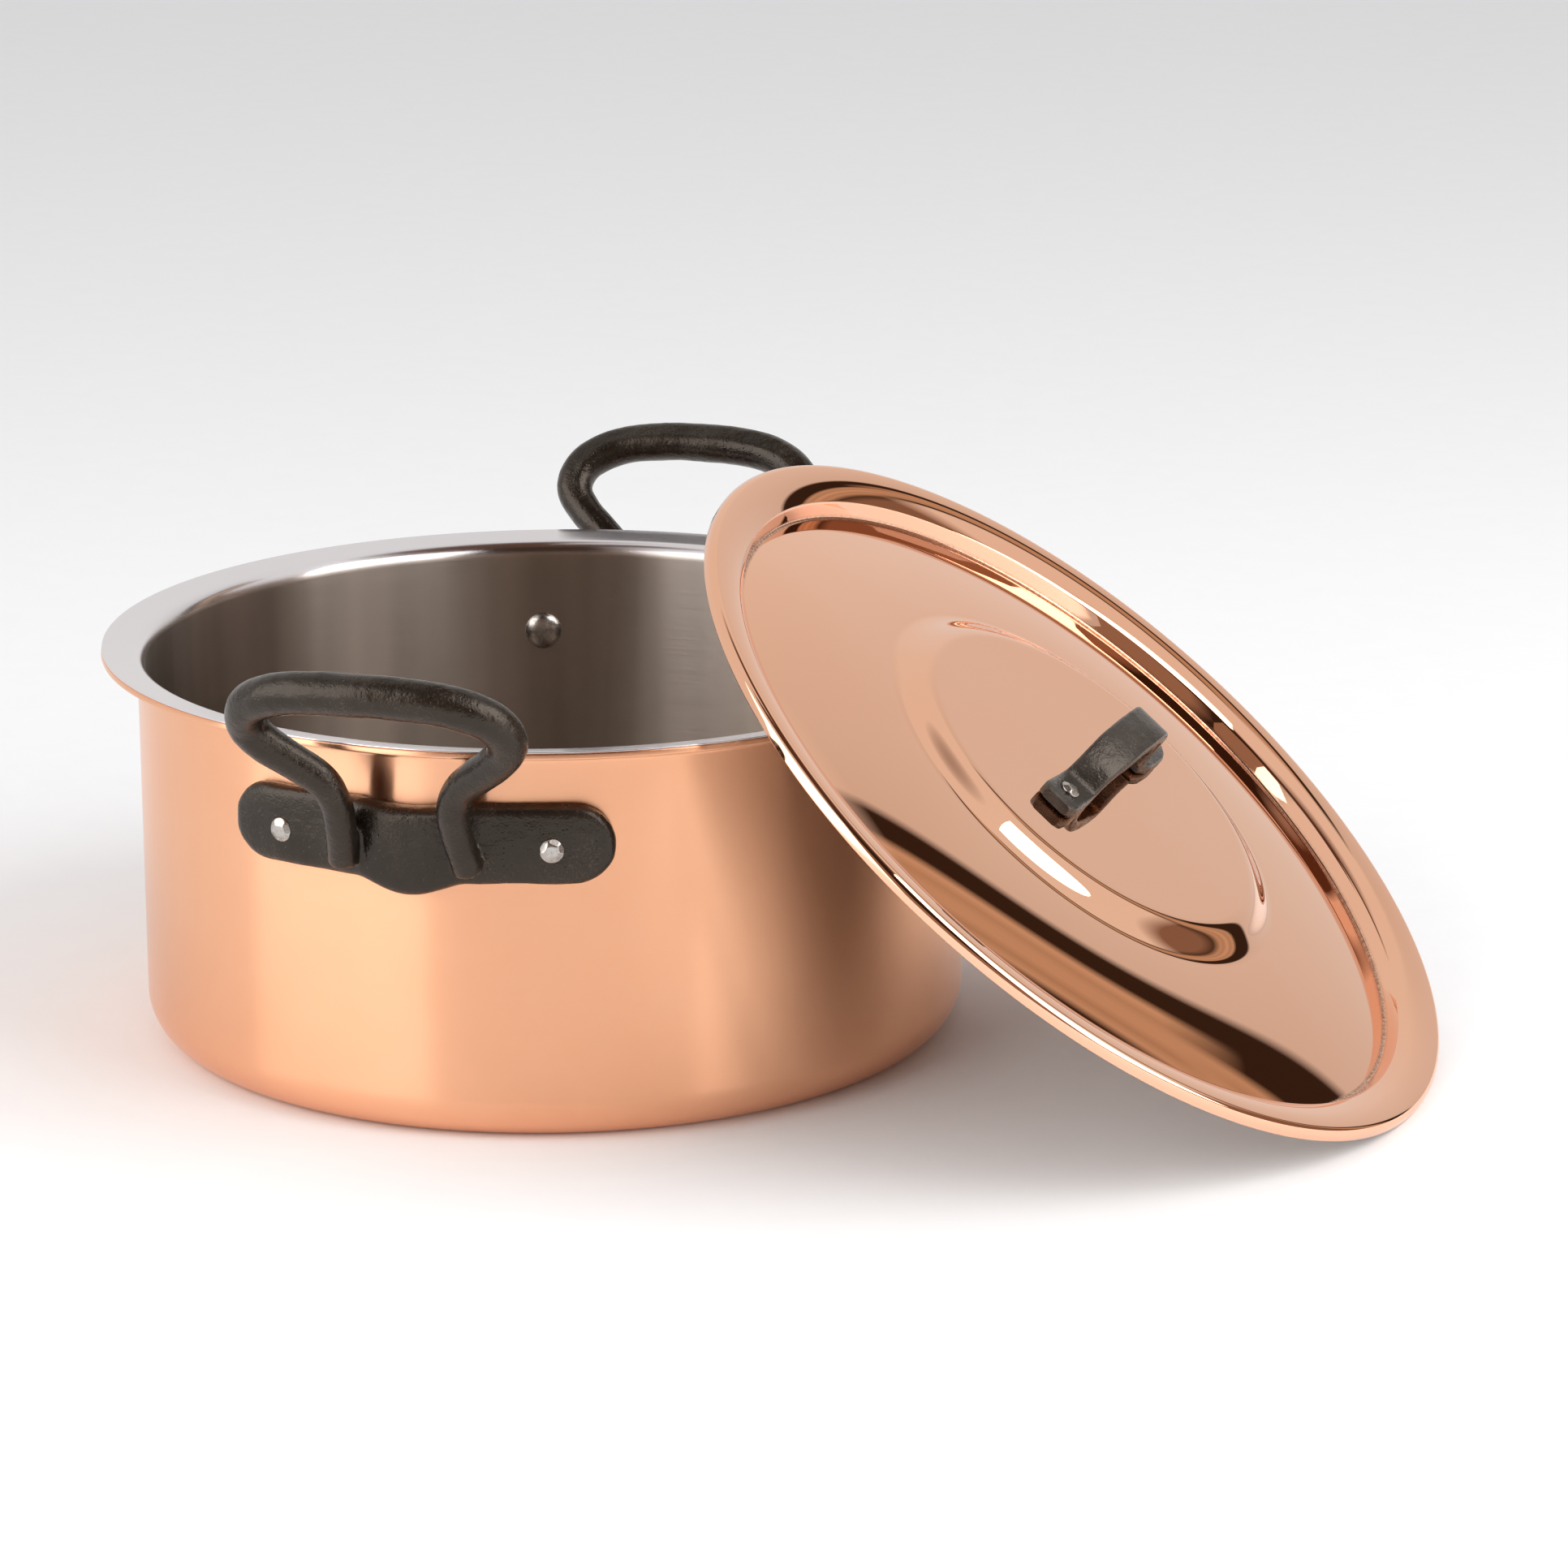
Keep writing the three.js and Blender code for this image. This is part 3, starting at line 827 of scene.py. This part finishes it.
def make_world():
    """A pale sweep behind, a dark room with a wooden wall to the right, and a dark ceiling.

    Only gloss sees them. The camera sees a plain background, and matt surfaces get a plain fill.
    """
    world = bpy.data.worlds.new("studio")
    bpy.context.scene.world = world
    world.use_nodes = True
    n = Nodes(world.node_tree)
    direction = n.add("ShaderNodeTexCoord").outputs["Generated"]
    parts = n.add("ShaderNodeSeparateXYZ", {0: direction})
    bearing = n.math("ARCTAN2", parts.outputs["X"], parts.outputs["Y"])
    share = n.map(bearing, -math.pi, math.pi, 0, 1)
    height = parts.outputs["Z"]
    pale, shade, dark = (0.80, 0.78, 0.76), (0.30, 0.20, 0.145), (0.035, 0.020, 0.013)
    haze, gloom = (0.66, 0.64, 0.62), (0.24, 0.155, 0.11)
    wood, grain = (0.62, 0.46, 0.33), (0.40, 0.28, 0.19)
    # Colours around the room, by bearing in degrees clockwise from +Y, at three heights.
    backdrop = [(-180, shade), (-165, shade), (-150, pale), (5, pale), (31.8, haze), (32.2, dark)]
    low = [*backdrop, (38, dark), (38.6, wood), (40.5, grain), (42, wood), (44, grain), (46, wood)]
    low += [(46.7, dark), (52, gloom), (82, gloom), (90, shade), (180, shade)]
    far_side = [(78, pale), (90, shade), (130, dark), (180, dark)]
    middle = [*backdrop, (36, dark), (36.6, wood), (38.5, grain), (40, wood), (42, grain), (43.5, wood)]
    middle += [(44.2, dark), (46.5, dark), (48, pale), *far_side]
    high = [(-180, dark), (-150, pale), *far_side]
    rings = []
    for stops in (low, middle, high):
        ring = n.ramp(share, [((degrees + 180) / 360, colour) for degrees, colour in stops])
        rings.append(ring.outputs[0])
    seen = n.mix(n.map(height, 0.33, 0.42, 0, 1), rings[0], rings[1])
    seen = n.mix(n.map(height, 0.66, 0.72, 0, 1), seen, rings[2])
    right, left = n.map(bearing, -0.9, -0.4, 0, 1), n.map(bearing, -1.9, -1.6, 1, 0)
    over_dark_side = n.math("ADD", right, left)
    ceiling = n.math("MULTIPLY", n.map(height, 0.87, 0.94, 0, 1), over_dark_side)
    seen = n.mix(ceiling, seen, (0.10, 0.05, 0.03, 1))
    studio = n.add("ShaderNodeBackground", {"Color": seen, "Strength": 1.0})
    fill = n.add("ShaderNodeBackground", {"Color": (0.66, 0.66, 0.67, 1), "Strength": 1.0})
    plain = n.add("ShaderNodeBackground", {"Color": (0.97, 0.97, 0.97, 1), "Strength": 1.0})
    rays = n.add("ShaderNodeLightPath")
    both = n.add("ShaderNodeMixShader", {0: rays.outputs["Is Diffuse Ray"], 1: studio, 2: fill})
    both = n.add("ShaderNodeMixShader", {0: rays.outputs["Is Camera Ray"], 1: both, 2: plain})
    n.add("ShaderNodeOutputWorld", {"Surface": both})


def make_floor():
    """A flat square of paper around the pan."""
    size = 6.0
    steps = 12
    points = [
        ((i / steps - 0.5) * 2 * size / MM, (j / steps - 0.5) * 2 * size / MM, 0)
        for i in range(steps + 1)
        for j in range(steps + 1)
    ]
    faces = []
    for i in range(steps):
        for j in range(steps):
            a = i * (steps + 1) + j
            faces.append((a, a + steps + 1, a + steps + 2, a + 1))
    floor = make("floor", points, faces)
    floor.data.materials.append(floor_paper())


def finish_piece(obj, made, body, node):
    """Gives a piece its material and its body, in place of its CAD node."""
    obj.data.materials.clear()
    obj.data.materials.append(made)
    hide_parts(node)
    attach(obj, body)


# ---- the saucepan -------------------------------------------------------------------------------

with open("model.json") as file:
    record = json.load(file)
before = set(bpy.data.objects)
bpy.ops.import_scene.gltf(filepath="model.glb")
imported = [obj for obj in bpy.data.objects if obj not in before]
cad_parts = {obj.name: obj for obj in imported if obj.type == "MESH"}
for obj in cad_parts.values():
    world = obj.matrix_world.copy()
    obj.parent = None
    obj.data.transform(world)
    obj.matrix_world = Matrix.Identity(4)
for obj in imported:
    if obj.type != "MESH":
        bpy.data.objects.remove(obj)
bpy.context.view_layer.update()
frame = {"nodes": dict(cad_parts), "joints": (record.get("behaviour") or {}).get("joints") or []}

iron = cast_iron("cast_iron")
rivet_steel = steel_rivet()

body_copper = sheet("pan_body", pan_face, 0, COPPER_SHEET, 0.5)
finish_piece(body_copper, copper_wall(), "pan", "pan_copper_shell")
lining = sheet("pan_lining", pan_face, COPPER_SHEET + 0.01, COPPER_SHEET + STEEL_SHEET, 0.15)
lining_steel = steel_satin("lining_steel", Matrix.Identity(4))
finish_piece(lining, lining_steel, "pan", "pan_steel_lining")

for number, (place_name, azimuth) in enumerate(HANDLE_AZIMUTHS.items()):
    handle = handle_mesh(f"{place_name}_handle_casting", azimuth)
    finish_piece(handle, iron, "pan", f"{place_name}_handle")
    for side, at in (("left", azimuth - RIVET_AZIMUTH), ("right", azimuth + RIVET_AZIMUTH)):
        seat = PAN_RADIUS + PLATE_GAP + PLATE_THICKNESS - 0.2
        inner_seat = PAN_RADIUS - COPPER_SHEET - STEEL_SHEET - RIVET_SEAT
        name = f"{place_name}_rivet_{side}_steel"
        rivet = rivet_mesh(name, inner_seat, seat, number * 3 + at, **RIVET)
        place(rivet, Matrix.Rotation(math.radians(90), 4, "Y"))
        place(rivet, Matrix.Rotation(math.radians(at), 4, "Z"))
        place(rivet, Matrix.Translation((0, 0, RIVET_HEIGHT * MM)))
        finish_piece(rivet, rivet_steel, "pan", f"{place_name}_rivet_{side}")

lid_place = lid_frame()
to_lid = lid_place.inverted()
lid_shell = place(sheet("lid_shell", lid_face, LID_SHEET, 0, 0.45), lid_place)
finish_piece(lid_shell, copper_mirror(to_lid), "lid", "lid_copper_shell")
lid_lining = sheet("lid_lining", lid_face, LID_SHEET + LID_SKIN, LID_SHEET + 0.01, 0.1)
place(lid_lining, lid_place)
finish_piece(lid_lining, steel_satin("lid_steel", to_lid), "lid", "lid_steel_lining")
strap = place(strap_mesh("lid_strap"), lid_place @ strap_frame())
strap_iron = cast_iron("strap_iron", (0.012, 0.009, 0.007), (0.08, 0.07, 0.06), 0.6)
finish_piece(strap, strap_iron, "lid", "lid_handle")
for end, along in STRAP_RIVETS.items():
    bottom = -LID_SHEET - LID_SKIN - RIVET_SEAT
    name = f"lid_rivet_{end}_steel"
    rivet = rivet_mesh(name, bottom, STRAP_THICKNESS + 0.3, along, **STRAP_RIVET)
    place(rivet, lid_place @ strap_frame(along))
    finish_piece(rivet, rivet_steel, "lid", f"lid_rivet_{end}")

make_camera()
make_world()
make_floor()
softbox("softbox_left", -61, 21, 1.7, (1.73, 1.6), 18)
softbox("softbox_right", 57, 31, 1.7, (1.34, 1.7), 26)

bpy.context.scene.view_settings.view_transform = "Standard"
